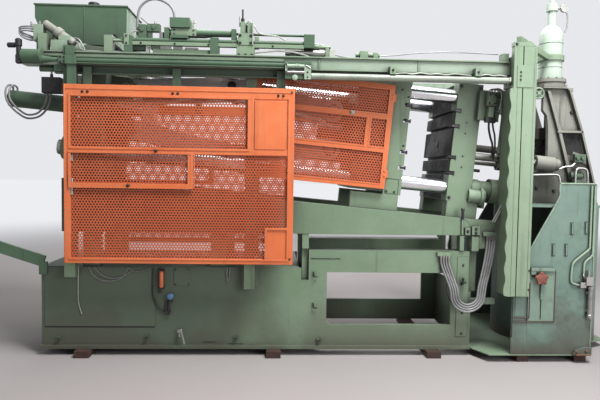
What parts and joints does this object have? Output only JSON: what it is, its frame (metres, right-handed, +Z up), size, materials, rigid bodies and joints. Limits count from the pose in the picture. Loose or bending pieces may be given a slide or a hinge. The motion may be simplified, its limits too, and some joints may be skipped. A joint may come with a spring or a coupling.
{
  "type": "die casting machine",
  "caption": "Hot-chamber die casting machine with an inclined toggle clamp, sliding mesh doors, overhead guide beams and a furnace with a gas-backed injection unit.",
  "frame": {"origin": "middle of the machine's footprint, on the floor", "axes": "+X along the machine from the closing cylinder to the furnace, +Y from the operator's side to the rear, +Z up"},
  "size_m": [4.8752, 1.35, 2.882],
  "materials": {
    "machine_green": "oily gloss paint, chipped",
    "dark_green": "older dark gloss paint",
    "teal": "satin paint, grimy",
    "orange": "satin safety orange",
    "orange_mesh": "perforated sheet, satin safety orange",
    "bright_bar": "hard chrome with an oil film",
    "bare_steel": "machined, oily",
    "black_steel": "blackened, oily",
    "casting_cream": "cream paint under soot",
    "timber": "rough sawn",
    "iron": "scaled",
    "tube": "grey sleeve"
  },
  "bodies": {
    "machine": {"bed_sides": "machine_green", "bed_crossing": "machine_green", "bed_girders": "machine_green", "timber_packers": "timber", "levelling_posts": "machine_green", "clamp_rails": "machine_green", "fixed_platen": "machine_green", "rear_platen": "machine_green", "toggle_pins": "bare_steel", "tie_bars": "bright_bar", "tie_nuts": "machine_green", "platen_valves": "machine_green", "closing_cylinder": "dark_green", "guide_beams": "machine_green", "beam_posts": "machine_green", "columns": "machine_green", "door_cylinders": "dark_green", "guide_pipes": "bright_bar", "column_arm": "machine_green", "oil_tank": "dark_green", "tank_stand": "machine_green", "slide_unit": "dark_green", "valve_block": "dark_green", "pot_sides": "teal", "pot_base": "machine_green", "furnace_shell": "teal", "melting_pot": "iron", "gooseneck": "iron", "injection_cheeks": "casting_cream", "injection_head": "casting_cream", "shot_cylinder": "machine_green", "traverse_bars": "casting_cream", "furnace_hatch": "teal", "left_strut": "dark_green", "hose_bracket": "machine_green", "hose_1": "tube", "hose_2": "tube", "hose_3": "tube", "hose_4": "tube"},
    "platen": {"moving_platen": "machine_green", "ejector_box": "casting_cream", "guard_frames": "orange", "guard_meshes": "orange_mesh"},
    "rear_link_up": {"rear_link_upper": "bare_steel"},
    "rear_link_low": {"rear_link_lower": "bare_steel"},
    "front_link_up": {"front_link_upper": "bare_steel"},
    "front_link_low": {"front_link_lower": "bare_steel"},
    "cross_link_up": {"cross_link_upper": "bare_steel"},
    "cross_link_low": {"cross_link_lower": "bare_steel"},
    "crosshead": {"crosshead": "bare_steel"},
    "front_door": {"door_frame_front": "orange", "door_mesh_front": "orange_mesh", "door_carriage_front": "dark_green"},
    "rear_door": {"door_frame_rear": "orange", "door_mesh_rear": "orange_mesh", "door_carriage_rear": "dark_green"}
  },
  "joints": [
    {"name": "platen_slide", "type": "slide", "parent": "machine", "child": "platen", "axis": [-0.9962, 0, 0.0872], "range_m": [0, 0.3]},
    {"name": "crosshead_slide", "type": "slide", "parent": "machine", "child": "crosshead", "axis": [0.9962, 0, -0.0872], "range_m": [0, 0.11]},
    {"name": "rear_link_up_pin", "type": "hinge", "parent": "machine", "child": "rear_link_up", "pos_m": [-1.44238, 0, 2.02012], "axis": [0, -1, 0], "range_deg": [0, 28.6]},
    {"name": "knee_up", "type": "hinge", "parent": "rear_link_up", "child": "front_link_up", "pos_m": [-0.62834, 0, 2.05963], "axis": [0, -1, 0], "range_deg": [-57.2, 0]},
    {"name": "cross_link_up_pin", "type": "hinge", "parent": "rear_link_up", "child": "cross_link_up", "pos_m": [-0.88304, 0, 2.04727], "axis": [0, -1, 0], "range_deg": [0, 17.1]},
    {"name": "rear_link_low_pin", "type": "hinge", "parent": "machine", "child": "rear_link_low", "pos_m": [-1.46853, 0, 1.72126], "axis": [0, 1, 0], "range_deg": [0, 28.6]},
    {"name": "knee_low", "type": "hinge", "parent": "rear_link_low", "child": "front_link_low", "pos_m": [-0.67371, 0, 1.54099], "axis": [0, 1, 0], "range_deg": [-57.2, 0]},
    {"name": "cross_link_low_pin", "type": "hinge", "parent": "rear_link_low", "child": "cross_link_low", "pos_m": [-0.9224, 0, 1.59739], "axis": [0, 1, 0], "range_deg": [0, 17.1]},
    {"name": "front_door_slide", "type": "slide", "parent": "machine", "child": "front_door", "axis": [1, 0, 0], "range_m": [0, 1.44]},
    {"name": "rear_door_slide", "type": "slide", "parent": "machine", "child": "rear_door", "axis": [1, 0, 0], "range_m": [0, 1.44]}
  ],
  "couplings": [
    {"joint": "crosshead_slide", "follows": "platen_slide", "ratio": 0.36195},
    {"joint": "rear_link_up_pin", "follows": "platen_slide", "rad_per_m": 1.6547},
    {"joint": "knee_up", "follows": "platen_slide", "rad_per_m": -3.3093},
    {"joint": "cross_link_up_pin", "follows": "platen_slide", "rad_per_m": 0.98319},
    {"joint": "rear_link_low_pin", "follows": "platen_slide", "rad_per_m": 1.6547},
    {"joint": "knee_low", "follows": "platen_slide", "rad_per_m": -3.3093},
    {"joint": "cross_link_low_pin", "follows": "platen_slide", "rad_per_m": 0.98319}
  ]
}
